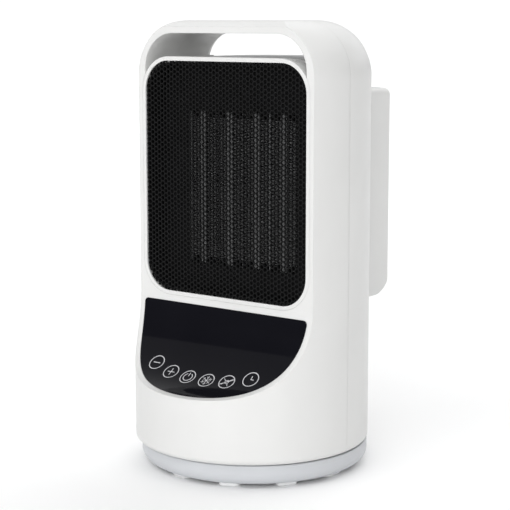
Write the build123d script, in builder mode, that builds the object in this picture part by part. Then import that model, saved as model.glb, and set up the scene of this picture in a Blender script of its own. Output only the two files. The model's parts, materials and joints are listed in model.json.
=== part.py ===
from build123d import *
from math import acos, cos, pi, radians, sin, sqrt, tan
import os

# A compact ceramic space heater: a round tower that swings on a low round base.
# Millimetres. +Z is up, the front faces -Y, and the origin is on the floor, on the swing axis.

# ---------------------------------------------------------------- driving sizes
total_height = 300.8
tower_radius = 80.0
tower_y = -3.0  # the tower's own axis stands this far in front of the swing axis
front_y = -33.8  # flat front face
wall = 2.4
front_wall = 4.6
parting_gap = 0.08

foot_height = 2.5
base_radius = 77.8
base_top = 16.6
base_edge_round = 8.0
base_lip_round = 1.0
deck_top = 8.0  # sunken floor of the base, under the tower
deck_thickness = 2.0
deck_radius = 73.0
base_hollow_radius = 61.9

tower_bottom = 17.4
tower_bottom_round = 4.0
tower_top_round = 36.0
top_roll_radius = 20.0
top_roll_drop = 4.1
floor_thickness = 2.5

cove_z = 117.3  # height at which the flat front starts to sweep forwards
cove_radius = 59.1
panel_top = 110.2
panel_thickness = 1.8
panel_corner = 3.0
panel_half_x = 76.1
panel_half_y = 74.7
panel_y = -4.5

grille_half = 68.0
grille_low = 117.4
grille_high = 274.1
grille_corner = 20.0
frame_rim = 2.6
frame_depth = 9.8
grille_setback = 1.2
grille_thickness = 1.2
grille_lap = 1.0
grille_hole = 4.4  # centre to corner of one hexagonal hole
grille_bar = 1.6

handle_half = 68.0
handle_top = 292.4
handle_corner = 24.0
duct_half = 70.6
duct_top = 276.4
duct_corner = 23.0
handle_flare_y = 31.0
handle_flare_angle = 20.0
handle_flare_depth = 12.0

box_half = 46.0  # air-intake box on the back
box_back = 99.0
box_low = 108.3
box_high = 254.0
box_wall = 2.2
box_low_round = 20.0
box_high_round = 4.8
box_side_round = 5.0
box_clearance = 0.1
slot_rows = 15
slot_pitch = 8.0
slot_height = 4.2
slot_length = 34.0
slot_spacing = 42.0

fan_z = 187.7
fan_radius = 54.0
fan_hub_radius = 15.0
fan_front = 16.0
fan_back = 32.0
blade_count = 7
shaft_radius = 2.0
bush_clearance = 0.04
shroud_radius = 56.6

heater_front = -12.5
heater_back = 1.5
heater_low = 135.6
heater_high = 239.8
tube_pitch = 22.75
tube_count = 4
tube_width = 5.0
plate_width = 0.8
fin_pitch = 3.2
fin_sheet = 1.2  # across the strip's slanting legs, measured along X

post_radius = 8.0
post_bore = 5.5
post_clearance = 0.06
gear_teeth = 60
pinion_teeth = 14
gear_module = 1.0
gear_addendum = 0.8
gear_dedendum = 1.2
tooth_backlash = 0.12
gear_low = 8.0
gear_high = 14.0
pinion_low = 9.0
pinion_high = 14.6
pinion_distance = gear_module * (gear_teeth + pinion_teeth) / 2
motor_shaft_radius = 2.5

switch_x = -46.0
gland_z = 36.0
screw_x = 60.0
screw_heights = (46.0, 100.0)
screw_head_radius = 3.6
screw_radius = 1.6

far = 200.0

os.makedirs("parts", exist_ok=True)


# ---------------------------------------------------------------- shared shapes
def facing(y):
    """Plane that faces the front at depth y; its sketch axes are X and Z. Extrude < 0 goes backwards."""
    return Plane(origin=(0, y, 0), x_dir=(1, 0, 0), z_dir=(0, -1, 0))


def level(z):
    """Horizontal plane centred on the tower's own axis."""
    return Plane(origin=(0, tower_y, z), x_dir=(1, 0, 0), z_dir=(0, 0, 1))


def window(half, low, high, corner, mode=Mode.ADD):
    """Rounded rectangle in a facing sketch, between two heights."""
    with Locations((0, (low + high) / 2)):
        RectangleRounded(2 * half, high - low, corner, mode=mode)


def block(half, low, high, mode=Mode.ADD):
    """Sharp rectangle in a facing sketch, between two heights."""
    with Locations((0, (low + high) / 2)):
        Rectangle(2 * half, high - low, mode=mode)


def tower_form(inset, front_inset):
    """Closed form of the tower, shrunk by inset all round and by front_inset on its front faces."""
    top = total_height - inset
    bottom = tower_bottom + inset
    roll_depth = sqrt(2 * top_roll_radius * top_roll_drop - top_roll_drop**2)
    roll_y = front_y + roll_depth
    roll_z = total_height - top_roll_radius
    cove_y = front_y - cove_radius
    radius = cove_radius + front_inset
    face_y = front_y + front_inset
    with BuildPart() as form:
        with BuildSketch(facing(tower_y)) as profile:
            with Locations((0, bottom)):
                Rectangle(tower_radius - inset, top - bottom, align=(Align.MIN, Align.MIN))
            outer = profile.vertices().group_by(Axis.X)[-1].sort_by(Axis.Y)
            fillet(outer[-1], tower_top_round - inset)
            corner = profile.vertices().group_by(Axis.Y)[0].sort_by(Axis.X)[-1]
            fillet(corner, tower_bottom_round - inset)
        revolve(axis=Axis((0, tower_y, 0), (0, 0, 1)))
        with BuildSketch(Plane.YZ):
            with BuildLine():
                Line((face_y, top + far), (face_y, cove_z))
                CenterArc((cove_y, cove_z), radius, 0, -90)
                Line((cove_y, cove_z - radius), (-far, cove_z - radius))
                Line((-far, cove_z - radius), (-far, top + far))
                Line((-far, top + far), (face_y, top + far))
            make_face()
        extrude(amount=far, both=True, mode=Mode.SUBTRACT)
        with BuildSketch(Plane.YZ):
            with Locations((roll_y, roll_z)):
                Rectangle(2 * top_roll_radius, 2 * top_roll_radius, align=(Align.MAX, Align.MIN))
                Circle(top_roll_radius - inset, mode=Mode.SUBTRACT)
        extrude(amount=far, both=True, mode=Mode.SUBTRACT)
    return form.part


def handle_gap(grow):
    """The carry-handle opening through the top, front to back, grown by grow on every side."""
    lowest = duct_top - handle_corner / 2 - grow
    with BuildPart() as gap:
        with BuildSketch(facing(0)):
            window(handle_half + grow, duct_top - far / 2, handle_top + grow, handle_corner + grow)
            window(duct_half - grow, grille_low, duct_top - grow, duct_corner - grow, Mode.SUBTRACT)
            block(far, duct_top - far, lowest, Mode.SUBTRACT)
        extrude(amount=far, both=True)
    return gap.part


def handle_flare():
    """The opening widens sideways towards the back of the tower."""
    with BuildPart() as flare:
        with BuildSketch(facing(handle_flare_y)):
            window(handle_half, duct_top - far / 2, handle_top, handle_corner)
        extrude(amount=-handle_flare_depth, taper=-handle_flare_angle)
        with BuildSketch(facing(0)):
            block(far, duct_top, handle_top)
        extrude(amount=-far, mode=Mode.INTERSECT)
    return flare.part


def shell_screw_bosses(y_from, y_to):
    """Four round bosses along Y that take the screws of the shell and end at its outer face."""
    with BuildPart() as bosses:
        with BuildSketch(facing(y_from)):
            for height in screw_heights:
                with Locations((screw_x, height), (-screw_x, height)):
                    Circle(screw_head_radius + 2)
        extrude(amount=y_from - y_to)
        add(tower_form(0, 0), mode=Mode.INTERSECT)
    return bosses.part


def shell_screw_holes(radius, y_from, y_to):
    """Four round holes along Y for the screws of the shell."""
    with BuildPart() as holes:
        with BuildSketch(facing(y_from)):
            for height in screw_heights:
                with Locations((screw_x, height), (-screw_x, height)):
                    Circle(radius)
        extrude(amount=y_from - y_to)
    return holes.part


def tooth_outline(teeth, phase):
    """Corner points of an external involute gear, 20 degree pressure angle, about the origin."""
    pitch = gear_module * teeth / 2
    base = pitch * cos(radians(20))
    tip = pitch + gear_addendum * gear_module
    root = pitch - gear_dedendum * gear_module
    involute = tan(radians(20)) - radians(20)
    half_tooth = pi / (2 * teeth) - tooth_backlash / (2 * pitch)
    points = []
    for tooth in range(teeth):
        middle = phase + 2 * pi * tooth / teeth
        flank = []
        for step in range(5):
            start = max(base, root)
            radius = start + (tip - start) * step / 4
            angle = acos(min(1.0, base / radius))
            half = half_tooth + involute - (tan(angle) - angle)
            flank.append((radius, half))
        if base > root:
            flank.insert(0, (root, flank[0][1]))
        for radius, half in flank:
            points.append((radius * cos(middle - half), radius * sin(middle - half)))
        for radius, half in reversed(flank):
            points.append((radius * cos(middle + half), radius * sin(middle + half)))
    return points


# ---------------------------------------------------------------- base
with BuildPart() as base_shell:
    with BuildSketch(Plane.XZ) as base_profile:
        with Locations((0, foot_height)):
            Rectangle(base_radius, base_top - foot_height, align=(Align.MIN, Align.MIN))
        fillet(base_profile.vertices().group_by(Axis.X)[-1].sort_by(Axis.Y)[0], base_edge_round)
        fillet(base_profile.vertices().group_by(Axis.X)[-1].sort_by(Axis.Y)[-1], base_lip_round)
        with Locations((0, deck_top)):
            Rectangle(deck_radius, far, align=(Align.MIN, Align.MIN), mode=Mode.SUBTRACT)
        with Locations((0, 0)):
            Rectangle(
                base_hollow_radius,
                deck_top - deck_thickness,
                align=(Align.MIN, Align.MIN),
                mode=Mode.SUBTRACT,
            )
    revolve(axis=Axis.Z)
    with BuildSketch(Plane.XY):
        Circle(post_bore + 1)
        with Locations((switch_x, 0)):
            Circle(2.6)
    extrude(amount=deck_top + 1, mode=Mode.SUBTRACT)
base_shell.part.label = "base_shell"
export_step(base_shell.part, "parts/base_shell.step")

plate_low = foot_height
plate_high = 4.4
with BuildPart() as base_plate:
    with BuildSketch(Plane.XY.offset(plate_low)):
        Circle(base_hollow_radius - 0.2)
        with Locations((switch_x, 0)):
            Circle(5.0, mode=Mode.SUBTRACT)
        with PolarLocations(30, 5):
            SlotOverall(16, 3, mode=Mode.SUBTRACT)
    extrude(amount=plate_high - plate_low)
    with BuildSketch(Plane.XY.offset(plate_low)):
        with PolarLocations(55, 5, start_angle=72):
            Circle(1.7)
    extrude(amount=plate_high - plate_low, mode=Mode.SUBTRACT)
base_plate.part.label = "base_plate"
export_step(base_plate.part, "parts/base_plate.step")

with BuildPart() as base_screws:
    with BuildSketch(Plane.XY.offset(plate_low - 1.2)):
        with PolarLocations(55, 5, start_angle=72):
            Circle(3.0)
            RegularPolygon(1.3, 6, mode=Mode.SUBTRACT)
    extrude(amount=1.15)
    with BuildSketch(Plane.XY.offset(plate_low - 0.1)):
        with PolarLocations(55, 5, start_angle=72):
            Circle(1.6)
    extrude(amount=deck_top - deck_thickness - plate_low)
base_screws.part.label = "base_screws"
export_step(base_screws.part, "parts/base_screws.step")

foot_ring = 66.2
foot_count = 11
first_foot = -0.7  # degrees
with BuildPart() as rubber_feet:
    with BuildSketch(Plane.XY):
        with PolarLocations(foot_ring, foot_count, start_angle=first_foot):
            SlotOverall(14.5, 6.4, rotation=90)
    extrude(amount=foot_height)
    fillet(rubber_feet.edges().group_by(Axis.Z)[0], 0.8)
rubber_feet.part.label = "rubber_feet"
export_step(rubber_feet.part, "parts/rubber_feet.step")

post_top = 27.6
with BuildPart() as pivot_post:
    with BuildSketch(Plane.XY.offset(deck_top)):
        Circle(16)
    extrude(amount=2)
    with BuildSketch(Plane.XY.offset(deck_top)):
        Circle(post_radius)
    extrude(amount=post_top - deck_top)
    Hole(post_bore)
    fillet(pivot_post.edges().filter_by(GeomType.CIRCLE).group_by(Axis.Z)[1].sort_by(Axis.X)[0], 0.5)
pivot_post.part.label = "pivot_post"
export_step(pivot_post.part, "parts/pivot_post.step")

with BuildPart() as pivot_retainer:
    with BuildSketch(Plane.XY.offset(post_top)):
        Circle(11.5)
        Circle(post_bore, mode=Mode.SUBTRACT)
        with PolarLocations(9.6, 6):
            Circle(1.0, mode=Mode.SUBTRACT)
    extrude(amount=1.6)
pivot_retainer.part.label = "pivot_retainer"
export_step(pivot_retainer.part, "parts/pivot_retainer.step")

glide_top = tower_bottom - 0.25
with BuildPart() as glide_ring:
    with BuildSketch(Plane.XY.offset(deck_top)):
        Circle(68)
        Circle(62, mode=Mode.SUBTRACT)
    extrude(amount=glide_top - deck_top)
    chamfer(glide_ring.edges().group_by(Axis.Z)[-1], 0.8)
glide_ring.part.label = "glide_ring"
export_step(glide_ring.part, "parts/glide_ring.step")

# A tooth of the fixed gear points at the pinion, which has a gap there.
with BuildPart() as swing_gear:
    with BuildSketch(Plane.XY.offset(gear_low)):
        with BuildLine():
            Polyline(tooth_outline(gear_teeth, pi / 2), close=True)
        make_face()
        Circle(22, mode=Mode.SUBTRACT)
        with PolarLocations(25, 3):
            Circle(1.6, mode=Mode.SUBTRACT)
    extrude(amount=gear_high - gear_low)
swing_gear.part.label = "swing_gear"
export_step(swing_gear.part, "parts/swing_gear.step")

switch_low = deck_top + 0.1
switch_high = 15.2
with BuildPart() as tip_switch:
    with BuildSketch(Plane.XY.offset(switch_low)):
        with Locations((switch_x, 0)):
            RectangleRounded(9.6, 20, 1)
    extrude(amount=switch_high - switch_low)
    with BuildSketch(Plane.XY.offset(switch_low)):
        with Locations((switch_x, 0)):
            Circle(2.3)
    extrude(amount=4.4, mode=Mode.SUBTRACT)
tip_switch.part.label = "tip_switch"
export_step(tip_switch.part, "parts/tip_switch.step")

with BuildPart() as tip_plunger:
    with BuildSketch(Plane.XY.offset(0.3)):
        with Locations((switch_x, 0)):
            Circle(4.2)
    extrude(amount=1.7)
    with BuildSketch(Plane.XY.offset(0.3)):
        with Locations((switch_x, 0)):
            Circle(2.0)
    extrude(amount=11.4)
    fillet(tip_plunger.edges().group_by(Axis.Z)[0], 0.6)
tip_plunger.part.label = "tip_plunger"
export_step(tip_plunger.part, "parts/tip_plunger.step")

# ---------------------------------------------------------------- tower shell
with BuildPart() as tower_cavity:
    add(tower_form(wall, front_wall))
    add(handle_gap(wall), mode=Mode.SUBTRACT)

rear_slot_half = 38.0
with BuildPart() as tower_shell:
    add(tower_form(0, 0))
    add(handle_gap(0), mode=Mode.SUBTRACT)
    add(handle_flare(), mode=Mode.SUBTRACT)
    add(tower_cavity.part, mode=Mode.SUBTRACT)
    # the floor plate closes this round opening
    with BuildSketch(level(tower_bottom - 1)):
        Circle(tower_radius - tower_bottom_round - 0.3)
    extrude(amount=wall + 2, mode=Mode.SUBTRACT)

# The control panel is a curved sheet that lies in a shallow recess of the cove.
with BuildPart() as panel_recess:
    with BuildSketch(Plane.YZ):
        with Locations((front_y - cove_radius, cove_z)):
            Circle(cove_radius + panel_thickness + 0.1)
    extrude(amount=far, both=True)
    with BuildSketch(Plane.XY):
        with Locations((0, panel_y)):
            Ellipse(panel_half_x + 0.1, panel_half_y + 0.1)
    extrude(amount=panel_top + 0.1, mode=Mode.INTERSECT)
    recess_top = panel_recess.faces().sort_by(Axis.Z)[-1]
    fillet(recess_top.edges().filter_by(GeomType.ELLIPSE), panel_corner)

with BuildPart() as front_shell:
    add(tower_shell.part)
    with BuildSketch(facing(tower_y - parting_gap / 2)):
        block(far, -far, 2 * far)
    extrude(amount=-far, mode=Mode.SUBTRACT)
    # seat of the grille frame
    with BuildSketch(facing(front_y - 1)):
        seat_low = grille_low - frame_rim - 0.05
        window(grille_half + frame_rim + 0.05, seat_low, duct_top + 0.55, duct_corner)
    extrude(amount=-frame_depth - 6, mode=Mode.SUBTRACT)
    add(shell_screw_bosses(tower_y - parting_gap / 2, -far))
    add(shell_screw_holes(screw_radius, far, -19), mode=Mode.SUBTRACT)
    add(panel_recess.part, mode=Mode.SUBTRACT)
front_shell.part.label = "front_shell"
export_step(front_shell.part, "parts/front_shell.step")

with BuildPart() as rear_shell:
    add(tower_shell.part)
    with BuildSketch(facing(tower_y + parting_gap / 2)):
        block(far, -far, 2 * far)
    extrude(amount=far, mode=Mode.SUBTRACT)
    # air-intake slots behind the filter box
    with BuildSketch(facing(45)):
        with Locations((0, fan_z)):
            with GridLocations(0, slot_pitch, 1, slot_rows):
                SlotOverall(2 * rear_slot_half, slot_height + 1)
    extrude(amount=-far, mode=Mode.SUBTRACT)
    add(shell_screw_bosses(tower_y + parting_gap / 2, far))
    add(shell_screw_holes(screw_head_radius, 22, far), mode=Mode.SUBTRACT)
    add(shell_screw_holes(screw_radius, -far, 23), mode=Mode.SUBTRACT)
    with BuildSketch(facing(60)):
        with Locations((0, gland_z)):
            Circle(5.0)
    extrude(amount=-far, mode=Mode.SUBTRACT)
rear_shell.part.label = "rear_shell"
export_step(rear_shell.part, "parts/rear_shell.step")

with BuildPart() as shell_screws:
    with BuildSketch(facing(25.6)):
        for height in screw_heights:
            with Locations((screw_x, height), (-screw_x, height)):
                Circle(screw_head_radius - 0.4)
                RegularPolygon(1.4, 6, mode=Mode.SUBTRACT)
    extrude(amount=3.4)
    with BuildSketch(facing(22.2)):
        for height in screw_heights:
            with Locations((screw_x, height), (-screw_x, height)):
                Circle(screw_radius - 0.1)
    extrude(amount=40)
shell_screws.part.label = "shell_screws"
export_step(shell_screws.part, "parts/shell_screws.step")

boss_radius = 13.0
with BuildPart() as tower_floor:
    with BuildSketch(level(tower_bottom)):
        Circle(tower_radius - tower_bottom_round - 0.5)
    extrude(amount=floor_thickness)
    with BuildSketch(Plane.XY.offset(tower_bottom)):
        Circle(boss_radius)
    extrude(amount=post_top - 0.3 - tower_bottom)
    with BuildSketch(Plane.XY):
        Circle(post_radius + post_clearance)
        with Locations((0, pinion_distance)):
            Circle(motor_shaft_radius + 1.2)
    extrude(amount=far, mode=Mode.SUBTRACT)
tower_floor.part.label = "tower_floor"
export_step(tower_floor.part, "parts/tower_floor.step")

# ---------------------------------------------------------------- front grille and control panel
with BuildPart() as grille_frame:
    with BuildSketch(facing(front_y)):
        window(grille_half + frame_rim, grille_low - frame_rim, duct_top + 0.5, duct_corner)
        window(grille_half, grille_low, grille_high, grille_corner, Mode.SUBTRACT)
    extrude(amount=-frame_depth)
    with BuildSketch(facing(front_y + grille_setback)):
        window(
            grille_half + grille_lap,
            grille_low - grille_lap,
            grille_high + grille_lap,
            grille_corner + grille_lap,
        )
    extrude(amount=-frame_depth, mode=Mode.SUBTRACT)
    fillet(grille_frame.faces().sort_by(Axis.Y)[0].outer_wire().edges(), 0.2)
grille_frame.part.label = "grille_frame"
export_step(grille_frame.part, "parts/grille_frame.step")

grille_y = front_y + grille_setback + 0.1
hole_pitch = grille_hole * sqrt(3) + grille_bar
hole_columns = 7
hole_rows = 9
hole_places = []
for column in range(-hole_columns, hole_columns + 1):
    for row in range(-hole_rows, hole_rows + 1):
        x = column * hole_pitch * sqrt(3) / 2
        z = (row + column % 2 / 2) * hole_pitch
        corner_x = max(abs(x) - (grille_half - grille_corner), 0)
        corner_z = max(abs(z) - ((grille_high - grille_low) / 2 - grille_corner), 0)
        if sqrt(corner_x**2 + corner_z**2) <= grille_corner - grille_hole:
            hole_places.append((x, (grille_low + grille_high) / 2 + z))
with BuildPart() as front_grille:
    with BuildSketch(facing(grille_y)):
        window(
            grille_half + grille_lap - 0.15,
            grille_low - grille_lap + 0.15,
            grille_high + grille_lap - 0.15,
            grille_corner + grille_lap - 0.15,
        )
        with Locations(*hole_places):
            RegularPolygon(grille_hole, 6, mode=Mode.SUBTRACT)
    extrude(amount=-grille_thickness)
front_grille.part.label = "front_grille"
export_step(front_grille.part, "parts/front_grille.step")

with BuildPart() as touch_panel:
    with BuildSketch(Plane.YZ):
        with Locations((front_y - cove_radius, cove_z)):
            Circle(cove_radius + panel_thickness)
            Circle(cove_radius, mode=Mode.SUBTRACT)
        with Locations((front_y - cove_radius, panel_top)):
            Rectangle(far, far, align=(Align.CENTER, Align.MIN), mode=Mode.SUBTRACT)
        with Locations((front_y - cove_radius, panel_top)):
            Rectangle(far, far, align=(Align.MAX, Align.CENTER), mode=Mode.SUBTRACT)
    extrude(amount=far, both=True)
    with BuildSketch(Plane.XY):
        with Locations((0, panel_y)):
            Ellipse(panel_half_x, panel_half_y)
    extrude(amount=far, mode=Mode.INTERSECT)
    fillet(touch_panel.faces().sort_by(Axis.Z)[-1].edges().sort_by(SortBy.LENGTH)[:2], panel_corner)
touch_panel.part.label = "touch_panel"
export_step(touch_panel.part, "parts/touch_panel.step")

# The touch board lies at 45 degrees under the panel.
board_gap = cove_radius + front_wall + 1.2
board_centre = (0, front_y - cove_radius + board_gap * cos(pi / 4), cove_z - board_gap * sin(pi / 4))
board_plane = Plane(origin=board_centre, x_dir=(1, 0, 0), z_dir=(0, -1, 1))
with BuildPart() as touch_board:
    with BuildSketch(board_plane):
        RectangleRounded(84, 40, 3)
    extrude(amount=-1.6)
touch_board.part.label = "touch_board"
export_step(touch_board.part, "parts/touch_board.step")

with BuildPart() as touch_board_chips:
    with BuildSketch(board_plane.offset(-1.7)):
        with Locations((-14, 4)):
            Rectangle(12, 12)
        with Locations((16, 6)):
            Rectangle(9, 7)
        with Locations((30, -6)):
            Circle(6)
    extrude(amount=-3.2)
touch_board_chips.part.label = "touch_board_chips"
export_step(touch_board_chips.part, "parts/touch_board_chips.step")

# ---------------------------------------------------------------- ceramic heating element
holder_front = -14.0
holder_back = 3.0
skirt_front = front_y + grille_setback + grille_thickness + 0.2
skirt_wall = 1.2
skirt_half = grille_half + 0.7
skirt_low = grille_low + 0.8
skirt_high = grille_high - 1.1
skirt_corner = grille_corner + 1.5
heater_half = tube_pitch * tube_count / 2 + plate_width / 2
with BuildPart() as heater_holder:
    with BuildSketch(facing(skirt_front)):
        window(skirt_half, skirt_low, skirt_high, skirt_corner)
    extrude(amount=skirt_front - holder_back)
    # the skirt stands around the air space in front of the element
    with BuildSketch(facing(skirt_front)):
        window(
            skirt_half - skirt_wall,
            skirt_low + skirt_wall,
            skirt_high - skirt_wall,
            skirt_corner - skirt_wall,
        )
    extrude(amount=skirt_front - holder_front, mode=Mode.SUBTRACT)
    with BuildSketch(facing(holder_front)):
        block(heater_half + 0.3, heater_low - 0.3, heater_high + 0.3)
    extrude(amount=holder_front - holder_back, mode=Mode.SUBTRACT)
heater_holder.part.label = "heater_holder"
export_step(heater_holder.part, "parts/heater_holder.step")

tube_places = [(k - (tube_count - 1) / 2) * tube_pitch for k in range(tube_count)]
with BuildPart() as ptc_tubes:
    with BuildSketch(facing(heater_front)):
        for x in tube_places:
            with Locations((x, 0)):
                block(tube_width / 2, heater_low, heater_high)
    extrude(amount=heater_front - heater_back)
    with BuildSketch(facing(heater_front + 2)):
        for x in tube_places:
            with Locations((x, 0)):
                block(tube_width / 2 - 0.8, heater_low, heater_high, Mode.ADD)
    extrude(amount=heater_front - heater_back + 4, mode=Mode.SUBTRACT)
ptc_tubes.part.label = "ptc_tubes"
export_step(ptc_tubes.part, "parts/ptc_tubes.step")

stone_rows = 4
stone_length = (heater_high - heater_low - 8) / stone_rows - 1
with BuildPart() as ptc_stones:
    with BuildSketch(facing(heater_front + 2.3)):
        with Locations((0, (heater_low + heater_high) / 2)):
            with GridLocations(tube_pitch, stone_length + 1, tube_count, stone_rows):
                Rectangle(tube_width - 1.9, stone_length)
    extrude(amount=heater_front - heater_back + 4.6)
ptc_stones.part.label = "ptc_stones"
export_step(ptc_stones.part, "parts/ptc_stones.step")

plate_places = [(k - tube_count / 2) * tube_pitch for k in range(tube_count + 1)]
with BuildPart() as ptc_side_plates:
    with BuildSketch(facing(heater_front)):
        for x in plate_places:
            with Locations((x, 0)):
                block(plate_width / 2, heater_low, heater_high)
    extrude(amount=heater_front - heater_back)
ptc_side_plates.part.label = "ptc_side_plates"
export_step(ptc_side_plates.part, "parts/ptc_side_plates.step")

fin_width = (tube_pitch - tube_width - plate_width) / 2 - 0.1
fin_rows = int((heater_high - heater_low - 8) / fin_pitch)
fin_low = (heater_low + heater_high - fin_rows * fin_pitch) / 2


def fin_ribbon(middle):
    """Closed outline of one folded strip of sheet, running up between a tube and a plate."""
    ribbon = []
    for side in (-1, 1):
        run = []
        for row in range(2 * fin_rows + 1):
            reach = (fin_width - fin_sheet) / 2 * (1 if row % 2 else -1)
            run.append((middle + reach + side * fin_sheet / 2, fin_low + row * fin_pitch / 2))
        ribbon += run if side < 0 else run[::-1]
    return ribbon


with BuildPart() as ptc_fins:
    with BuildSketch(facing(heater_front + 1)):
        for x in tube_places:
            for side in (-1, 1):
                with BuildLine():
                    middle = x + side * (tube_width / 2 + 0.05 + fin_width / 2)
                    Polyline(fin_ribbon(middle), close=True)
                make_face()
    extrude(amount=heater_front - heater_back + 2)
ptc_fins.part.label = "ptc_fins"
export_step(ptc_fins.part, "parts/ptc_fins.step")

with BuildPart() as ptc_terminals:
    with BuildSketch(facing(heater_back + 0.05)):
        for x in tube_places:
            with Locations((x, heater_low + 3)):
                Rectangle(6.3, 0.8)
    extrude(amount=-7)
ptc_terminals.part.label = "ptc_terminals"
export_step(ptc_terminals.part, "parts/ptc_terminals.step")

safety_z = (heater_high + 252.4) / 2
with BuildPart() as thermal_cutout:
    with BuildSketch(facing(holder_back + 0.05)):
        with Locations((-28, safety_z)):
            Circle(5.4)
    extrude(amount=-3.0)
    with BuildSketch(facing(holder_back + 3.05)):
        with Locations((-28, safety_z)):
            Circle(4.0)
    extrude(amount=-4.0)
thermal_cutout.part.label = "thermal_cutout"
export_step(thermal_cutout.part, "parts/thermal_cutout.step")

with BuildPart() as thermal_fuse:
    with BuildSketch(Plane.YZ.offset(14)):
        with Locations((holder_back + 3, safety_z)):
            Circle(2.0)
    extrude(amount=12)
    with BuildSketch(Plane.YZ.offset(4)):
        with Locations((holder_back + 3, safety_z)):
            Circle(0.5)
    extrude(amount=32)
thermal_fuse.part.label = "thermal_fuse"
export_step(thermal_fuse.part, "parts/thermal_fuse.step")

# ---------------------------------------------------------------- air path and fan
duct_wall = 1.6
air_duct_half = 62.0
air_duct_low = 121.5
air_duct_high = 254.0
with BuildPart() as air_duct:
    with BuildSketch(facing(holder_back + 0.1)):
        window(air_duct_half, air_duct_low, air_duct_high, 12)
        window(
            air_duct_half - duct_wall,
            air_duct_low + duct_wall,
            air_duct_high - duct_wall,
            12 - duct_wall,
            Mode.SUBTRACT,
        )
    extrude(amount=holder_back - fan_front + 4.3)
air_duct.part.label = "air_duct"
export_step(air_duct.part, "parts/air_duct.step")

shroud_plate_y = fan_front - 4.1
shroud_back = 34.0
with BuildPart() as fan_shroud:
    with BuildSketch(facing(shroud_plate_y)):
        window(68, 121.5, 258, 14)
        with Locations((0, fan_z)):
            Circle(shroud_radius, mode=Mode.SUBTRACT)
    extrude(amount=-2)
    with BuildSketch(facing(shroud_plate_y)):
        with Locations((0, fan_z)):
            Circle(shroud_radius + 2.2)
            Circle(shroud_radius, mode=Mode.SUBTRACT)
    extrude(amount=shroud_plate_y - shroud_back)
    with BuildSketch(facing(shroud_back)):
        with Locations((0, fan_z)):
            with PolarLocations(0, 3, start_angle=30):
                with Locations((32, 0)):
                    Rectangle(50, 6)
            Circle(shroud_radius + 2.2, mode=Mode.INTERSECT)
            Circle(17)
            Circle(9, mode=Mode.SUBTRACT)
    extrude(amount=-2.2)
fan_shroud.part.label = "fan_shroud"
export_step(fan_shroud.part, "parts/fan_shroud.step")

with BuildPart() as fan_hub:
    with BuildSketch(facing(fan_front)):
        with Locations((0, fan_z)):
            Circle(fan_hub_radius)
    extrude(amount=fan_front - fan_back)
    with BuildSketch(facing(fan_front + 2.4)):
        with Locations((0, fan_z)):
            Circle(fan_hub_radius - 2)
            Circle(4.5, mode=Mode.SUBTRACT)
    extrude(amount=fan_front - fan_back, mode=Mode.SUBTRACT)
    with BuildSketch(facing(fan_front)):
        with Locations((0, fan_z)):
            Circle(shaft_radius)
    extrude(amount=-far, mode=Mode.SUBTRACT)

blade_root_tilt = 50.0
blade_tip_tilt = 28.0
blade_middle = (fan_front + fan_back) / 2
with BuildPart() as blades:
    for blade in range(blade_count):
        turn = 360 / blade_count * blade
        outward = Vector(cos(radians(turn)), 0, sin(radians(turn)))
        for reach, chord, tilt in (
            (fan_hub_radius - 1, 17, blade_root_tilt),
            (fan_radius - 1.5, 26, blade_tip_tilt),
        ):
            tangent = Vector(-sin(radians(turn)), 0, cos(radians(turn)))
            along = tangent * cos(radians(tilt)) + Vector(0, 1, 0) * sin(radians(tilt))
            centre = outward * reach + Vector(0, blade_middle, fan_z)
            with BuildSketch(Plane(origin=centre, x_dir=along, z_dir=outward)):
                SlotOverall(chord, 1.8)
        loft()

with BuildPart() as fan_impeller:
    add(fan_hub.part)
    with BuildPart(mode=Mode.PRIVATE) as hub_core:
        with BuildSketch(facing(-far / 2)):
            with Locations((0, fan_z)):
                Circle(fan_hub_radius - 0.8)
        extrude(amount=-far)
    add(blades.part - hub_core.part)
fan_impeller.part.label = "fan_impeller"
export_step(fan_impeller.part, "parts/fan_impeller.step")

shaft_front = 14.0
shaft_back = 61.0
with BuildPart() as fan_shaft:
    with BuildSketch(facing(shaft_front)):
        with Locations((0, fan_z)):
            Circle(shaft_radius)
    extrude(amount=shaft_front - shaft_back)
    chamfer(fan_shaft.edges().filter_by(GeomType.CIRCLE), 0.3)
fan_shaft.part.label = "fan_shaft"
export_step(fan_shaft.part, "parts/fan_shaft.step")

core_front = 38.6
core_back = 56.0
core_half = 28.0
core_low = fan_z - 42.0
core_high = fan_z + 24.0
leg_high = fan_z - 32.0
with BuildPart() as motor_core:
    with BuildSketch(facing(core_front)):
        window(core_half, core_low, core_high, 3)
        block(18, leg_high, fan_z - 19.5, Mode.SUBTRACT)
        with Locations((0, fan_z)):
            Circle(15.2, mode=Mode.SUBTRACT)
            with GridLocations(46, 38, 2, 2):
                Circle(1.7, mode=Mode.SUBTRACT)
    extrude(amount=core_front - core_back)
motor_core.part.label = "motor_core"
export_step(motor_core.part, "parts/motor_core.step")

with BuildPart() as motor_coil:
    with BuildSketch(Plane.YZ):
        with Locations(((core_front + core_back) / 2, (core_low + leg_high) / 2)):
            RectangleRounded(core_back - core_front + 3.4, leg_high - core_low + 9, 2)
            Rectangle(core_back - core_front + 0.1, leg_high - core_low + 0.1, mode=Mode.SUBTRACT)
    extrude(amount=15, both=True)
motor_coil.part.label = "motor_coil"
export_step(motor_coil.part, "parts/motor_coil.step")

with BuildPart() as motor_rotor:
    with BuildSketch(facing(core_front + 1)):
        with Locations((0, fan_z)):
            Circle(14.6)
            Circle(shaft_radius, mode=Mode.SUBTRACT)
    extrude(amount=core_front - core_back + 2)
motor_rotor.part.label = "motor_rotor"
export_step(motor_rotor.part, "parts/motor_rotor.step")

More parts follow.
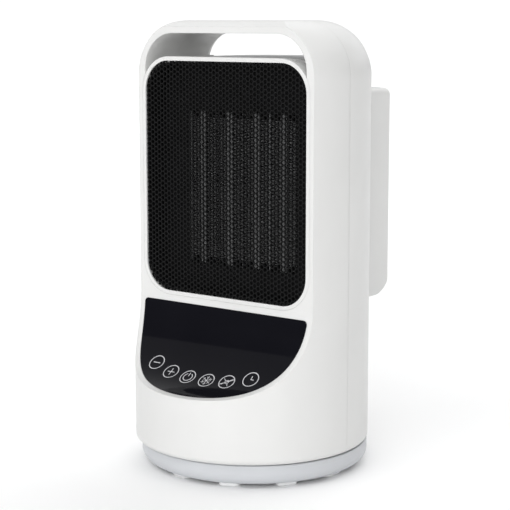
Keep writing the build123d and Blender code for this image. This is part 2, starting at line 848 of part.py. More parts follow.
bridge_back = core_back + 0.05
with BuildPart() as motor_bridges:
    with BuildSketch(facing(core_front - 0.05)):
        with Locations((0, fan_z)):
            SlotOverall(54, 12)
            Circle(8)
            Circle(5.0, mode=Mode.SUBTRACT)
    extrude(amount=2.2)
    with BuildSketch(facing(bridge_back)):
        with Locations((0, fan_z)):
            SlotOverall(54, 12)
            Circle(8)
            Circle(5.0, mode=Mode.SUBTRACT)
    extrude(amount=-2.2)
motor_bridges.part.label = "motor_bridges"
export_step(motor_bridges.part, "parts/motor_bridges.step")

with BuildPart() as shaft_bushes:
    with BuildSketch(facing(core_front - 0.05)):
        with Locations((0, fan_z)):
            Circle(5.0)
            Circle(shaft_radius + bush_clearance, mode=Mode.SUBTRACT)
    extrude(amount=2.2)
    with BuildSketch(facing(bridge_back)):
        with Locations((0, fan_z)):
            Circle(5.0)
            Circle(shaft_radius + bush_clearance, mode=Mode.SUBTRACT)
    extrude(amount=-2.2)
shaft_bushes.part.label = "shaft_bushes"
export_step(shaft_bushes.part, "parts/shaft_bushes.step")

# ---------------------------------------------------------------- power electronics and swing drive
board_y = 30.0
board_low = 46.0
board_high = 110.0
with BuildPart() as power_board:
    with BuildSketch(facing(board_y)):
        window(50, board_low, board_high, 2)
        with Locations((0, (board_low + board_high) / 2)):
            with GridLocations(90, 54, 2, 2):
                Circle(1.6, mode=Mode.SUBTRACT)
    extrude(amount=-1.6)
power_board.part.label = "power_board"
export_step(power_board.part, "parts/power_board.step")

with BuildPart() as power_relays:
    with BuildSketch(facing(board_y - 0.05)):
        with Locations((-28, 92), (-6, 92)):
            RectangleRounded(18, 19, 1)
    extrude(amount=15)
power_relays.part.label = "power_relays"
export_step(power_relays.part, "parts/power_relays.step")

with BuildPart() as board_capacitors:
    with BuildSketch(facing(board_y - 0.05)):
        with Locations((20, 98), (20, 84)):
            Circle(5)
        with Locations((-26, 66)):
            Rectangle(26, 10)
    extrude(amount=12)
board_capacitors.part.label = "board_capacitors"
export_step(board_capacitors.part, "parts/board_capacitors.step")

with BuildPart() as triac_heatsink:
    with BuildSketch(facing(board_y - 0.05)):
        with Locations((37, 88)):
            Rectangle(2, 30)
        for height in (76, 82, 88, 94, 100):
            with Locations((41.5, height)):
                Rectangle(8, 1.4)
    extrude(amount=18)
triac_heatsink.part.label = "triac_heatsink"
export_step(triac_heatsink.part, "parts/triac_heatsink.step")

with BuildPart() as terminal_block:
    with BuildSketch(facing(board_y - 0.05)):
        with Locations((16, 60)):
            Rectangle(40, 11)
            with GridLocations(10, 0, 4, 1):
                Circle(2.4, mode=Mode.SUBTRACT)
    extrude(amount=11)
terminal_block.part.label = "terminal_block"
export_step(terminal_block.part, "parts/terminal_block.step")

swing_motor_radius = 21.0
swing_motor_low = tower_bottom + floor_thickness + 0.1
swing_motor_high = swing_motor_low + 17
with BuildPart() as swing_motor:
    with BuildSketch(Plane.XY.offset(swing_motor_low)):
        with Locations((0, pinion_distance)):
            Circle(swing_motor_radius)
            SlotOverall(56, 8)
            with GridLocations(48, 0, 2, 1):
                Circle(1.7, mode=Mode.SUBTRACT)
    extrude(amount=1.2)
    with BuildSketch(Plane.XY.offset(swing_motor_low)):
        with Locations((0, pinion_distance)):
            Circle(swing_motor_radius)
    extrude(amount=swing_motor_high - swing_motor_low)
    with BuildSketch(Plane.XY.offset(swing_motor_low - 1)):
        with Locations((0, pinion_distance)):
            Circle(motor_shaft_radius + bush_clearance)
    extrude(amount=9, mode=Mode.SUBTRACT)
swing_motor.part.label = "swing_motor"
export_step(swing_motor.part, "parts/swing_motor.step")

with BuildPart() as swing_pinion:
    with BuildSketch(Plane.XY.offset(pinion_low)):
        with BuildLine():
            outline = tooth_outline(pinion_teeth, pi / 2 + pi / pinion_teeth)
            Polyline([(x, y + pinion_distance) for x, y in outline], close=True)
        make_face()
    extrude(amount=pinion_high - pinion_low)
    with BuildSketch(Plane.XY.offset(pinion_low)):
        with Locations((0, pinion_distance)):
            Circle(motor_shaft_radius)
    extrude(amount=swing_motor_low + 6 - pinion_low)
swing_pinion.part.label = "swing_pinion"
export_step(swing_pinion.part, "parts/swing_pinion.step")

# ---------------------------------------------------------------- intake box, filter and cord gland


def intake_form(inset):
    """Closed form of the intake box, shrunk by inset: a side profile crossed with a plan."""
    low = box_low + inset
    high = box_high - inset
    back = box_back - inset
    low_round = box_low_round - inset
    high_round = box_high_round - inset
    with BuildPart() as form:
        with BuildSketch(Plane.YZ) as side:
            with Locations((0, low)):
                Rectangle(back, high - low, align=(Align.MIN, Align.MIN))
            fillet(side.vertices().group_by(Axis.X)[-1].sort_by(Axis.Y)[0], low_round)
        extrude(amount=box_half - inset, both=True)
        with BuildSketch(Plane.XY.offset(low)) as plan:
            Rectangle(2 * (box_half - inset), back, align=(Align.CENTER, Align.MIN))
            fillet(plan.vertices().group_by(Axis.Y)[-1], box_side_round - inset)
        extrude(amount=high - low, mode=Mode.INTERSECT)
        top_face = form.faces().sort_by(Axis.Z)[-1]
        fillet(top_face.edges().sort_by(Axis.Y)[1:], high_round)
    return form.part


filter_y = 88.2
filter_half = 41.5
with BuildPart() as rear_cover:
    add(intake_form(0))
    add(intake_form(box_wall), mode=Mode.SUBTRACT)
    with BuildSketch(level(0)):
        Circle(tower_radius + box_clearance)
    extrude(amount=2 * far, mode=Mode.SUBTRACT)
    with BuildSketch(facing(box_back - 5)):
        with Locations((0, fan_z - 4)):
            with GridLocations(slot_spacing, slot_pitch, 2, slot_rows):
                SlotOverall(slot_length, slot_height)
    extrude(amount=-far, mode=Mode.SUBTRACT)
    with BuildSketch(Plane.XY.offset(box_high - 4)):
        with Locations((0, filter_y)):
            Rectangle(2 * filter_half + 1, 4.2)
    extrude(amount=8, mode=Mode.SUBTRACT)
rear_cover.part.label = "rear_cover"
export_step(rear_cover.part, "parts/rear_cover.step")

filter_low = 115.0
filter_thickness = 3.2
mesh_half = 37.0
mesh_low = filter_low + 4.5
mesh_high = 247.0
with BuildPart() as filter_frame:
    with BuildSketch(facing(filter_y - filter_thickness / 2)):
        block(filter_half, filter_low, box_high + 0.1)
        block(mesh_half, mesh_low, mesh_high, Mode.SUBTRACT)
        with Locations((0, (mesh_low + mesh_high) / 2)):
            Rectangle(2 * mesh_half + 1, 2.4)
            Rectangle(2.4, mesh_high - mesh_low + 1)
    extrude(amount=-filter_thickness)
    with BuildSketch(Plane.XY.offset(box_high + 0.1)):
        with Locations((0, filter_y)):
            RectangleRounded(44, 7.4, 3)
    extrude(amount=1.6)
filter_frame.part.label = "filter_frame"
export_step(filter_frame.part, "parts/filter_frame.step")

with BuildPart() as filter_mesh:
    with BuildSketch(facing(filter_y - 0.2)):
        block(mesh_half - 0.05, mesh_low + 0.05, mesh_high - 0.05)
        with Locations((0, (mesh_low + mesh_high) / 2)):
            Rectangle(2 * mesh_half, 2.5, mode=Mode.SUBTRACT)
            Rectangle(2.5, mesh_high - mesh_low, mode=Mode.SUBTRACT)
    extrude(amount=-0.4)
filter_mesh.part.label = "filter_mesh"
export_step(filter_mesh.part, "parts/filter_mesh.step")

gland_face = tower_radius + tower_y
with BuildPart() as cord_gland:
    with BuildSketch(facing(gland_face + 3.0)):
        with Locations((0, gland_z)):
            Circle(7.6)
    extrude(amount=2.9)
    with BuildSketch(facing(gland_face + 3.0)):
        with Locations((0, gland_z)):
            Circle(4.9)
    extrude(amount=9.0)
    with BuildSketch(facing(gland_face + 3.0)):
        with Locations((0, gland_z)):
            Circle(3.4)
    extrude(amount=9.0, mode=Mode.SUBTRACT)
    flange_edges = cord_gland.edges().filter_by(GeomType.CIRCLE).group_by(Axis.Y)[-1]
    fillet(flange_edges.sort_by(SortBy.RADIUS)[-1], 0.8)
cord_gland.part.label = "cord_gland"
export_step(cord_gland.part, "parts/cord_gland.step")
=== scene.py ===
import json
from math import cos, hypot, pi, radians, sin, sqrt, tau

import bmesh
import bpy
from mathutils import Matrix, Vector


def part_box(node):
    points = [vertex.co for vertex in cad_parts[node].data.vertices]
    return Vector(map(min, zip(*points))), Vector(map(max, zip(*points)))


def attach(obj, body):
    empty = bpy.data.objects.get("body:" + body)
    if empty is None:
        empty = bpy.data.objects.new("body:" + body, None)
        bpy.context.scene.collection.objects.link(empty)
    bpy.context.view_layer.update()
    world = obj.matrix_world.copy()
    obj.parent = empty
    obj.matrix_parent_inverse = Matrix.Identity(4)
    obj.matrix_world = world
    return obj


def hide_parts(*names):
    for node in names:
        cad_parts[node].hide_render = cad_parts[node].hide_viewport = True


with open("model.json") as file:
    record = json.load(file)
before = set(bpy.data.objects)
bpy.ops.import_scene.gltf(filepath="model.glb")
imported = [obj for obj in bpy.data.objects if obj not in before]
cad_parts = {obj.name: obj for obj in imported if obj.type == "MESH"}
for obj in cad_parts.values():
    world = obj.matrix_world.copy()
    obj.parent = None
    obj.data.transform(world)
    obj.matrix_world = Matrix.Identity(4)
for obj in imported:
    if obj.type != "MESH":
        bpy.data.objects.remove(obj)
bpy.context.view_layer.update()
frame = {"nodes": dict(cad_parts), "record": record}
nodes = frame["nodes"]
scene = bpy.context.scene
mm = 0.001


# ---------------------------------------------------------------- materials
class Shader:
    """A Principled material with short calls for the nodes that feed it. Lengths are in mm."""

    def __init__(self, name, **sockets):
        self.material = bpy.data.materials.new(name)
        self.material.use_nodes = True
        self.tree = self.material.node_tree
        self.shader = next(n for n in self.tree.nodes if n.type == "BSDF_PRINCIPLED")
        self.place = self.tree.nodes.new("ShaderNodeTexCoord").outputs["Object"]
        self.normal = None
        for socket, value in sockets.items():
            self.shader.inputs[socket.replace("_", " ")].default_value = value

    def node(self, kind, links=(), **values):
        made = self.tree.nodes.new("ShaderNode" + kind)
        for name, value in values.items():
            if hasattr(made, name):
                setattr(made, name, value)
            else:
                made.inputs[name.replace("_", " ")].default_value = value
        for socket, source in dict(links).items():
            self.tree.links.new(source, made.inputs[socket])
        return made

    def squeezed(self, stretch):
        """The object's coordinates, scaled by stretch along each axis."""
        scaled = self.node("VectorMath", {0: self.place}, operation="MULTIPLY")
        scaled.inputs[1].default_value = stretch
        return scaled.outputs["Vector"]

    def noise(self, size, detail=2.0, rough=0.5, stretch=None):
        """Noise whose patches are about size mm across."""
        place = self.squeezed(stretch) if stretch else self.place
        scale = 1000.0 / size
        made = self.node("TexNoise", {"Vector": place}, Scale=scale, Detail=detail, Roughness=rough)
        return made.outputs["Fac"]

    def cells(self, size):
        """Distance to the middle of round cells about size mm across."""
        made = self.node("TexVoronoi", {"Vector": self.place}, Scale=1000.0 / size)
        return made.outputs["Distance"]

    def span(self, value, low, high, start=0.3, stop=0.7):
        """The value's range from start to stop, mapped to low and high."""
        made = self.node("MapRange", {"Value": value})
        limits = {"From Min": start, "From Max": stop, "To Min": low, "To Max": high}
        for socket, number in limits.items():
            made.inputs[socket].default_value = number
        return made.outputs["Result"]

    def colour(self, value, stops):
        """Base colour from a value, through a ramp of (place, colour) stops."""
        ramp = self.node("ValToRGB", {"Fac": value})
        elements = ramp.color_ramp.elements
        while len(elements) < len(stops):
            elements.new(0.5)
        for element, (place, rgb) in zip(elements, stops):
            element.position = place
            element.color = (*rgb, 1.0)
        self.tree.links.new(ramp.outputs["Color"], self.shader.inputs["Base Color"])

    def roughness(self, value, low, high):
        """Roughness between low and high, from a value."""
        self.tree.links.new(self.span(value, low, high), self.shader.inputs["Roughness"])

    def soft_edges(self, radius):
        """Edges look rounded off by radius mm."""
        made = self.node("Bevel", Radius=radius * mm, samples=6)
        self.normal = made.outputs["Normal"]
        self.tree.links.new(self.normal, self.shader.inputs["Normal"])

    def bump(self, value, height, strength=1.0):
        """Relief of height mm."""
        links = {"Height": value}
        if self.normal:
            links["Normal"] = self.normal
        made = self.node("Bump", links, Distance=height * mm, Strength=strength)
        self.normal = made.outputs["Normal"]
        self.tree.links.new(self.normal, self.shader.inputs["Normal"])


def toned(rgb, factor):
    """A colour made darker or lighter by a factor."""
    return tuple(min(1.0, c * factor) for c in rgb)


def moulded(name, rgb, rough, grain=0.35, relief=0.006, edges=0.0, **sockets):
    """Moulded plastic: faint flow marks, a spark-eroded grain and slightly uneven gloss."""
    made = Shader(name, **sockets)
    flow = made.noise(38.0, 3.0, stretch=(1.0, 1.0, 0.6))
    made.colour(flow, [(0.25, toned(rgb, 0.975)), (0.75, toned(rgb, 1.015))])
    made.roughness(made.noise(9.0, 4.0, 0.6), rough - 0.04, rough + 0.05)
    if edges:
        made.soft_edges(edges)
    made.bump(made.noise(grain, 2.0, 0.6), relief)
    return made.material


def sheet_metal(name, rgb, rough, stretch, relief=0.004, **sockets):
    """Bare metal with fine drawing lines along its length."""
    made = Shader(name, Metallic=1.0, **sockets)
    lines = made.noise(0.5, 4.0, 0.7, stretch=stretch)
    made.colour(lines, [(0.3, toned(rgb, 0.86)), (0.7, toned(rgb, 1.06))])
    made.roughness(made.noise(4.0, 3.0), rough - 0.06, rough + 0.1)
    made.bump(lines, relief)
    return made.material


def powder_coat(name, rgb, rough):
    """Powder-coated metal with a fine orange peel."""
    made = Shader(name, IOR=1.5, Specular_IOR_Level=0.16)
    made.colour(made.noise(12.0), [(0.3, toned(rgb, 0.85)), (0.7, toned(rgb, 1.15))])
    made.roughness(made.noise(2.0, 3.0), rough - 0.05, rough + 0.08)
    made.bump(made.cells(0.22), 0.012, 0.7)
    return made.material


white = (0.665, 0.665, 0.657)
looks = {
    "shell_white": moulded("shell_white_satin", white, 0.33, 0.4, 0.003, edges=0.9, IOR=1.46),
    "frame_white": moulded("frame_white_satin", white, 0.3, 0.4, 0.003, edges=0.4, IOR=1.46),
    "base_grey": moulded("base_grey_satin", (0.53, 0.543, 0.565), 0.36, 0.4, 0.004, edges=0.5, IOR=1.46),
    "inner_grey": moulded("inner_grey_plastic", (0.33, 0.34, 0.35), 0.5, 0.5, 0.01),
    "inner_black": moulded(
        "inner_black_plastic", (0.005, 0.005, 0.0054), 0.6, 0.5, 0.012, Specular_IOR_Level=0.2
    ),
    "glide_white": moulded("acetal_white", (0.78, 0.77, 0.72), 0.4, 0.6, 0.005),
    "relay_blue": moulded("relay_blue_case", (0.03, 0.08, 0.25), 0.35, 0.5, 0.006),
    "rubber_dark": moulded("gland_rubber", (0.022, 0.022, 0.024), 0.72, 0.5, 0.02),
    # The feet's colour is partly their own pale grey and partly painted light: it is set brighter than
    # the base and the white shell, so the feet look lit under the shade of the base's rounded edge.
    "rubber_pale": moulded("foot_rubber_painted_light", (0.85, 0.855, 0.86), 0.6, 0.45, 0.012),
    "grille_black": powder_coat("grille_powder_coat", (0.0055, 0.0055, 0.0058), 0.5),
    "element_aluminium": sheet_metal("element_aluminium", (0.30, 0.305, 0.31), 0.42, (4.0, 1.0, 0.1)),
    "steel_zinc": sheet_metal("zinc_plated_steel", (0.55, 0.56, 0.58), 0.32, (1.0, 1.0, 0.2)),
    "copper_coil": sheet_metal("enamelled_copper", (0.50, 0.17, 0.07), 0.3, (0.1, 3.0, 3.0), 0.02),
    "bush_bronze": sheet_metal("sintered_bronze", (0.45, 0.32, 0.14), 0.45, (1.0, 1.0, 1.0), 0.01),
}

laminated = Shader("stacked_laminations", Metallic=0.9)
layers = laminated.node("TexWave", {"Vector": laminated.place}, bands_direction="Y", Scale=1000.0 / 12.6)
laminated.colour(layers.outputs["Fac"], [(0.1, (0.10, 0.10, 0.105)), (0.6, (0.30, 0.30, 0.31))])
laminated.roughness(laminated.noise(3.0), 0.38, 0.55)
laminated.bump(layers.outputs["Fac"], 0.03)
looks["laminated_steel"] = laminated.material

stone = Shader("ptc_stone", IOR=1.5)
stone.colour(stone.noise(0.8, 5.0, 0.7), [(0.3, (0.045, 0.04, 0.038)), (0.7, (0.10, 0.09, 0.085))])
stone.roughness(stone.noise(1.5), 0.7, 0.9)
stone.bump(stone.noise(0.4, 3.0), 0.02)
looks["ptc_ceramic"] = stone.material

board = Shader("solder_resist_green", IOR=1.5)
tracks = board.node("TexBrick", {"Vector": board.squeezed((1.0, 0.0, 1.0))}, Scale=190.0)
for socket, rgb in (
    ("Color1", (0.008, 0.07, 0.03)),
    ("Color2", (0.012, 0.095, 0.04)),
    ("Mortar", (0.03, 0.16, 0.06)),
):
    tracks.inputs[socket].default_value = (*rgb, 1.0)
tracks.inputs["Mortar Size"].default_value = 0.03
board.tree.links.new(tracks.outputs["Color"], board.shader.inputs["Base Color"])
board.roughness(board.noise(5.0), 0.25, 0.4)
board.bump(tracks.outputs["Fac"], 0.03)
looks["board_green"] = board.material

panel = Shader("panel_gloss_black", IOR=1.5, Specular_IOR_Level=0.065)
panel.colour(panel.noise(60.0), [(0.3, (0.0056, 0.0056, 0.0078)), (0.7, (0.007, 0.007, 0.0094))])
panel.roughness(panel.noise(14.0, 4.0), 0.055, 0.10)
panel.bump(panel.noise(22.0, 1.0), 0.012)
looks["panel_black"] = panel.material

ink = Shader("icon_print", IOR=1.45)
ink.colour(ink.noise(1.2, 3.0), [(0.3, (0.50, 0.50, 0.52)), (0.7, (0.60, 0.60, 0.62))])
ink.roughness(ink.noise(2.0), 0.35, 0.5)
ink.bump(ink.noise(0.3), 0.004)

thread = Shader("filter_nylon", IOR=1.5)
thread.colour(thread.noise(6.0), [(0.3, (0.07, 0.072, 0.075)), (0.7, (0.11, 0.112, 0.115))])
thread.roughness(thread.noise(2.0), 0.5, 0.65)
thread.bump(thread.noise(0.15), 0.006)
looks["mesh_grey"] = thread.material

tube_look = sheet_metal("tube_aluminium", (0.24, 0.242, 0.245), 0.45, (4.0, 1.0, 0.1))
fin_look = sheet_metal("fin_aluminium", (0.32, 0.323, 0.326), 0.34, (4.0, 1.0, 0.1))

for entry in frame["record"]["subparts"]:
    mesh = nodes[entry["node"]].data
    mesh.materials.clear()
    mesh.materials.append(looks[entry["material_slot"]])
nodes["ptc_tubes"].data.materials[0] = tube_look


# ---------------------------------------------------------------- mesh helpers
def piece_of(name, vertices, faces, body, material):
    """A new piece from points in mm, which rides on a body."""
    mesh = bpy.data.meshes.new(name)
    mesh.from_pydata([Vector(v) * mm for v in vertices], [], faces)
    tidy = bmesh.new()
    tidy.from_mesh(mesh)
    bmesh.ops.remove_doubles(tidy, verts=tidy.verts, dist=1e-7)
    bmesh.ops.recalc_face_normals(tidy, faces=tidy.faces)
    tidy.to_mesh(mesh)
    tidy.free()
    mesh.materials.append(material)
    made = bpy.data.objects.new(name, mesh)
    scene.collection.objects.link(made)
    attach(made, body)
    return made


def rounded_outline(low_x, low_z, high_x, high_z, corner, steps=10):
    """Corner points of a rounded rectangle, in order, in mm."""
    points = []
    for x, z, start in (
        (high_x - corner, high_z - corner, 0.0),
        (low_x + corner, high_z - corner, 0.25),
        (low_x + corner, low_z + corner, 0.5),
        (high_x - corner, low_z + corner, 0.75),
    ):
        for step in range(steps + 1):
            angle = tau * (start + 0.25 * step / steps)
            points.append((x + corner * cos(angle), z + corner * sin(angle)))
    return points


def clipped(polygon, outline):
    """The part of a convex polygon inside a convex outline, both counter-clockwise."""
    for (ax, az), (bx, bz) in zip(outline, outline[1:] + outline[:1]):
        if not polygon:
            return []
        side = [(bx - ax) * (z - az) - (bz - az) * (x - ax) for x, z in polygon]
        kept = []
        for k, (x, z) in enumerate(polygon):
            next_x, next_z = polygon[(k + 1) % len(polygon)]
            here, there = side[k], side[(k + 1) % len(polygon)]
            if here >= 0:
                kept.append((x, z))
            if (here > 0 > there) or (here < 0 < there):
                share = here / (here - there)
                kept.append((x + share * (next_x - x), z + share * (next_z - z)))
        polygon = kept
    return polygon


def inside(point, outline):
    """Whether a point lies in a convex counter-clockwise outline."""
    x, z = point
    return all(
        (bx - ax) * (z - az) - (bz - az) * (x - ax) >= -1e-9
        for (ax, az), (bx, bz) in zip(outline, outline[1:] + outline[:1])
    )


# ---------------------------------------------------------------- front grille
def honeycomb(low, high, outline, pitch, bar, front, back):
    """Points and faces of a flat honeycomb sheet, cut to a convex outline."""
    vertices, faces = [], []
    outer, inner = pitch / sqrt(3), (pitch - bar) / sqrt(3)
    flare = bar * 0.22  # the cells open a little towards the front
    wide = (inner + flare) / inner
    column_pitch = pitch * sqrt(3) / 2
    middle_z = (low[1] + high[1]) / 2
    columns = int((high[0] - low[0]) / 2 / column_pitch) + 1
    rows = int((high[1] - low[1]) / 2 / pitch) + 1
    corner = [(cos(tau * k / 6), sin(tau * k / 6)) for k in range(6)]
    for column in range(-columns, columns + 1):
        for row in range(-rows, rows + 1):
            x = column * column_pitch
            z = middle_z + (row + column % 2 / 2) * pitch
            for k in range(6):
                a, b = corner[k], corner[(k + 1) % 6]
                for y, hole in ((front, inner + flare), (back, inner)):
                    quad = [
                        (x + a[0] * hole, z + a[1] * hole),
                        (x + a[0] * outer, z + a[1] * outer),
                        (x + b[0] * outer, z + b[1] * outer),
                        (x + b[0] * hole, z + b[1] * hole),
                    ]
                    quad = clipped(quad, outline)
                    if len(quad) > 2:
                        start = len(vertices)
                        vertices += [(px, y, pz) for px, pz in quad]
                        faces.append(tuple(range(start, start + len(quad))))
                ends = [(x + c[0] * inner, z + c[1] * inner) for c in (a, b)]
                if all(inside(point, outline) for point in ends):
                    start = len(vertices)
                    ring = ((ends[0], front), (ends[1], front), (ends[1], back), (ends[0], back))
                    for (px, pz), y in ring:
                        grow = wide if y == front else 1.0
                        vertices.append((x + (px - x) * grow, y, z + (pz - z) * grow))
                    faces.append((start, start + 1, start + 2, start + 3))
    return vertices, faces


mesh_pitch = 3.3
mesh_bar = 0.85
mesh_corner = 20.8
grille_low, grille_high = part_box("front_grille")
low_mm, high_mm = grille_low / mm, grille_high / mm
outline = rounded_outline(low_mm.x, low_mm.z, high_mm.x, high_mm.z, mesh_corner, 12)
points, faces = honeycomb(
    (low_mm.x, low_mm.z),
    (high_mm.x, high_mm.z),
    outline,
    mesh_pitch,
    mesh_bar,
    low_mm.y,
    high_mm.y,
)
mesh_sheet = piece_of(
    "grille_honeycomb", points, faces, "tower", looks["grille_black"]
)
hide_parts("front_grille")

# ---------------------------------------------------------------- heating element fins
fins_low, fins_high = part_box("ptc_fins")
tubes_low, tubes_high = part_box("ptc_tubes")
low_mm, high_mm = fins_low / mm, fins_high / mm
fin_pitch = 2.0
fin_sheet = 0.28
fin_gap = 0.12  # between a fold and the metal beside it
tube_count = 4
half_tube = 2.5
half_plate = 0.4
tube_pitch = ((tubes_high.x - tubes_low.x) / mm - 2 * half_tube) / (tube_count - 1)
channel = tube_pitch / 2 - half_tube - half_plate
fin_reach = channel / 2 - fin_gap
fold_bend = 0.28 * fin_pitch / 2 * 0.9  # each fold is rounded off over this height
fold_drop = 0.16 * 0.6


def folded_strip(middle):
    """Middle line of one folded strip, as (x, z) points from its foot to its head."""
    line = []
    for turn in range(int((high_mm.z - low_mm.z) / (fin_pitch / 2)) + 1):
        z = low_mm.z + turn * fin_pitch / 2
        x = fin_reach * (1 if turn % 2 else -1)
        line.append((middle + x * (1 - fold_drop), z - fold_bend))
        line.append((middle + x, z))
        line.append((middle + x * (1 - fold_drop), z + fold_bend))
    return line


points, faces = [], []
for tube in range(tube_count):
    for side in (-1, 1):
        centre = (tube - (tube_count - 1) / 2) * tube_pitch
        strip = folded_strip(centre + side * (half_tube + channel / 2))
        base = len(points)
        for k, (x, z) in enumerate(strip):
            before = strip[max(k - 1, 0)]
            after = strip[min(k + 1, len(strip) - 1)]
            along = Vector((after[0] - before[0], after[1] - before[1])).normalized()
            across = Vector((-along.y, along.x)) * fin_sheet / 2
            for y in (low_mm.y, high_mm.y):
                points.append((x + across.x, y, z + across.y))
                points.append((x - across.x, y, z - across.y))
        for k in range(len(strip) - 1):
            here, there = base + 4 * k, base + 4 * (k + 1)
            for a, b in ((0, 1), (1, 3), (3, 2), (2, 0)):
                faces.append((here + a, here + b, there + b, there + a))
        faces.append((base, base + 1, base + 3, base + 2))
        last = base + 4 * (len(strip) - 1)
        faces.append((last, last + 2, last + 3, last + 1))
fins = piece_of("corrugated_fins", points, faces, "tower", fin_look)
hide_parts("ptc_fins")

# ---------------------------------------------------------------- printed icons on the cove
cove_radius = 59.1
cove_z = 117.3
cove_y = -92.9
ink_lift = 0.05


def on_cove(x, along):
    """A point on the panel: x across it, and along mm of arc below the top of the cove."""
    angle = along / cove_radius
    radius = cove_radius - ink_lift
    return (x, cove_y + radius * cos(angle), cove_z - radius * sin(angle))


def ring_points(radius, first=0.0, last=1.0, steps=40):
    """Points along a ring, from one share of a full turn to another."""
    turns = [tau * (first + (last - first) * k / steps) for k in range(steps + 1)]
    return [(radius * cos(turn), radius * sin(turn)) for turn in turns]


def drawn(strokes, centre, points, faces):
    """Adds strokes, each a list of (x, up) points in mm and a line width, as ribbons on the cove."""
    centre_x, centre_along = centre
    for line, width in strokes:
        closed = hypot(line[0][0] - line[-1][0], line[0][1] - line[-1][1]) < 1e-6
        dense = []
        for (ax, az), (bx, bz) in zip(line, line[1:]):
            count = max(1, int(hypot(bx - ax, bz - az) / 0.8))
            dense += [(ax + (bx - ax) * k / count, az + (bz - az) * k / count) for k in range(count)]
        dense.append(line[-1])
        start = len(points)
        total = len(dense)
        for k, (x, up) in enumerate(dense):
            before = dense[k - 1] if k else (dense[-2] if closed else dense[0])
            after = dense[k + 1] if k < total - 1 else (dense[1] if closed else dense[-1])
            along = Vector((after[0] - before[0], after[1] - before[1])).normalized()
            for side in (-1, 1):
                points.append(
                    on_cove(
                        centre_x + x - along.y * side * width / 2,
                        centre_along - (up + along.x * side * width / 2),
                    )
                )
        for k in range(total - 1):
            a = start + 2 * k
            faces.append((a, a + 1, a + 3, a + 2))


icon_radius = 5.6
line = 0.62
outer_ring = [(ring_points(icon_radius), line)]
minus = [([(-2.9, 0), (2.9, 0)], line)]
plus = minus + [([(0, -2.9), (0, 2.9)], line)]
power = [(ring_points(3.3, 0.33, 1.17), line), ([(0, 0.8), (0, 4.0)], line)]
star = []
for k in range(6):
    turn = tau * (k / 6 + 1 / 12)
    star.append(([(0, 0), (4.1 * cos(turn), 4.1 * sin(turn))], 0.42))
    barb = [(3.4 * cos(turn + side * 0.36), 3.4 * sin(turn + side * 0.36)) for side in (-1, 1)]
    star.append(([barb[0], (2.2 * cos(turn), 2.2 * sin(turn)), barb[1]], 0.32))
swing = [([(-4.4, -2.9), (4.4, 2.9)], line), ([(-3.6, 2.6), (-1.2, 0.6), (1.2, 1.3), (3.6, 3.2)], 0.4)]
swing.append((ring_points(1.5, 0, 1, 20), 0.4))
swing.append(([(-1.6, -1.0), (-3.0, -2.9)], 0.4))
swing.append(([(1.0, -1.3), (2.4, -3.4)], 0.4))
clock = [([(0, 2.9), (0, 0), (2.3, 0)], line)]
icons = (  # place across the panel, place along the arc, strokes
    (-40.5, 52.3, minus),
    (-24.0, 57.7, plus),
    (-8.0, 59.6, power),
    (8.0, 59.6, star),
    (24.0, 57.7, swing),
    (40.5, 52.3, clock),
)
points, faces = [], []
for x, along, strokes in icons:
    drawn(outer_ring + strokes, (x, along), points, faces)
printed = piece_of("touch_icons", points, faces, "tower", ink.material)

# ---------------------------------------------------------------- woven filter
filter_low, filter_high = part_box("filter_mesh")
low_mm, high_mm = filter_low / mm, filter_high / mm
weave_pitch = 1.5
half_thread = 0.13
thread_bow = 0.11
points, faces = [], []


def woven_thread(place, length, over, start_at, upright):
    """One square thread that weaves over and under the ones it crosses."""
    count = int(length / (weave_pitch / 2))
    start = len(points)
    middle_y = (low_mm.y + high_mm.y) / 2
    for k in range(count + 1):
        along = start_at + length * k / count
        bow = thread_bow * (1 if (k // 2 + over) % 2 else -1) if k % 2 == 0 else 0.0
        for a, b in ((-1, -1), (1, -1), (1, 1), (-1, 1)):
            side, y = place + a * half_thread / 1.4, middle_y + bow + b * half_thread / 2
            points.append((side, y, along) if upright else (along, y, side))
    for k in range(count):
        here = start + 4 * k
        for a in range(4):
            b = (a + 1) % 4
            faces.append((here + a, here + b, here + 4 + b, here + 4 + a))


filter_width = high_mm.x - low_mm.x
filter_height = high_mm.z - low_mm.z
for k in range(int(filter_width / weave_pitch)):
    place = low_mm.x + (k + 0.5) * weave_pitch
    woven_thread(place, filter_height, k % 2, low_mm.z, True)
for k in range(int(filter_height / weave_pitch)):
    place = low_mm.z + (k + 0.5) * weave_pitch
    woven_thread(place, filter_width, (k + 1) % 2, low_mm.x, False)
woven = piece_of("filter_weave", points, faces, "filter", looks["mesh_grey"])
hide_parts("filter_mesh")

# ---------------------------------------------------------------- floor, light and camera
floor_look = Shader("studio_floor", IOR=1.4, Specular_IOR_Level=0.1)
floor_look.colour(floor_look.noise(400.0), [(0.3, (0.97, 0.97, 0.97)), (0.7, (0.985, 0.985, 0.985))])
floor_look.roughness(floor_look.noise(60.0), 0.7, 0.8)
floor_mesh = bpy.data.meshes.new("studio_floor")
floor_half = 20
floor_corners = [(-floor_half, -floor_half, 0), (floor_half, -floor_half, 0)]
floor_corners += [(floor_half, floor_half, 0), (-floor_half, floor_half, 0)]
floor_mesh.from_pydata(floor_corners, [], [(0, 1, 2, 3)])
floor_mesh.materials.append(floor_look.material)
floor = bpy.data.objects.new("studio_floor", floor_mesh)
scene.collection.objects.link(floor)

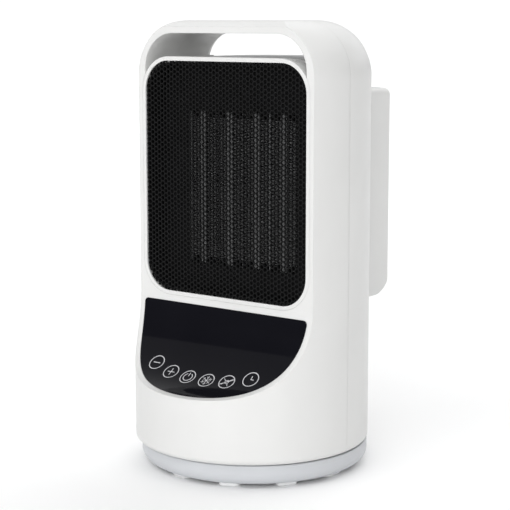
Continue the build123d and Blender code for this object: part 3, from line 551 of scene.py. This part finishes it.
# A white backdrop stands behind the heater and the rest of the room is dim. The camera sees plain white.
world = bpy.data.worlds.new("studio")
world.use_nodes = True
world_nodes, world_links = world.node_tree.nodes, world.node_tree.links
room = world_nodes["Background"]
room.inputs["Color"].default_value = (0.97, 0.985, 1.0, 1.0)
facing = world_nodes.new("ShaderNodeTexCoord")
behind = world_nodes.new("ShaderNodeVectorMath")
behind.operation = "DOT_PRODUCT"
behind.inputs[1].default_value = (-0.6, 0.8, 0.0)
glow = world_nodes.new("ShaderNodeMapRange")
glow.interpolation_type = "SMOOTHSTEP"
for socket, value in (("From Min", 0.3), ("From Max", 0.8), ("To Min", 0.02), ("To Max", 0.64)):
    glow.inputs[socket].default_value = value
world_links.new(facing.outputs["Generated"], behind.inputs[0])
world_links.new(behind.outputs["Value"], glow.inputs["Value"])
world_links.new(glow.outputs["Result"], room.inputs["Strength"])
backdrop = world_nodes.new("ShaderNodeBackground")
backdrop.inputs["Color"].default_value = (1.0, 1.0, 1.0, 1.0)
backdrop.inputs["Strength"].default_value = 1.05
ray = world_nodes.new("ShaderNodeLightPath")
chosen = world_nodes.new("ShaderNodeMixShader")
world_links.new(ray.outputs["Is Camera Ray"], chosen.inputs["Fac"])
world_links.new(room.outputs["Background"], chosen.inputs[1])
world_links.new(backdrop.outputs["Background"], chosen.inputs[2])
world_links.new(chosen.outputs["Shader"], world_nodes["World Output"].inputs["Surface"])
scene.world = world


def soft_sun(name, azimuth, elevation, spread, strength):
    """An even light from one side, as wide as spread degrees. Azimuth 0 is in front, 90 on the right."""
    light = bpy.data.lights.new(name, "SUN")
    light.angle = radians(spread)
    light.energy = strength
    made = bpy.data.objects.new(name, light)
    turn, rise = radians(azimuth), radians(elevation)
    towards = Vector((sin(turn) * cos(rise), -cos(turn) * cos(rise), sin(rise)))
    made.rotation_euler = towards.to_track_quat("Z", "Y").to_euler()
    scene.collection.objects.link(made)


soft_sun("overhead_light", 0.0, 90.0, 110.0, 1.72)
soft_sun("front_light", 0.0, 25.0, 70.0, 1.42)
soft_sun("side_light", 40.0, 8.0, 50.0, 1.72)
soft_sun("back_light", 180.0, 40.0, 70.0, 0.78)

camera_data = bpy.data.cameras.new("photo_view")
camera_data.lens = 106.40
camera_data.sensor_width = 36.0
camera = bpy.data.objects.new("photo_view", camera_data)
camera.location = (0.6284, -0.8003, 0.3006)
camera.rotation_euler = (radians(81.16), 0.0, radians(38.12))
scene.collection.objects.link(camera)
scene.camera = camera
scene.view_settings.view_transform = "Standard"
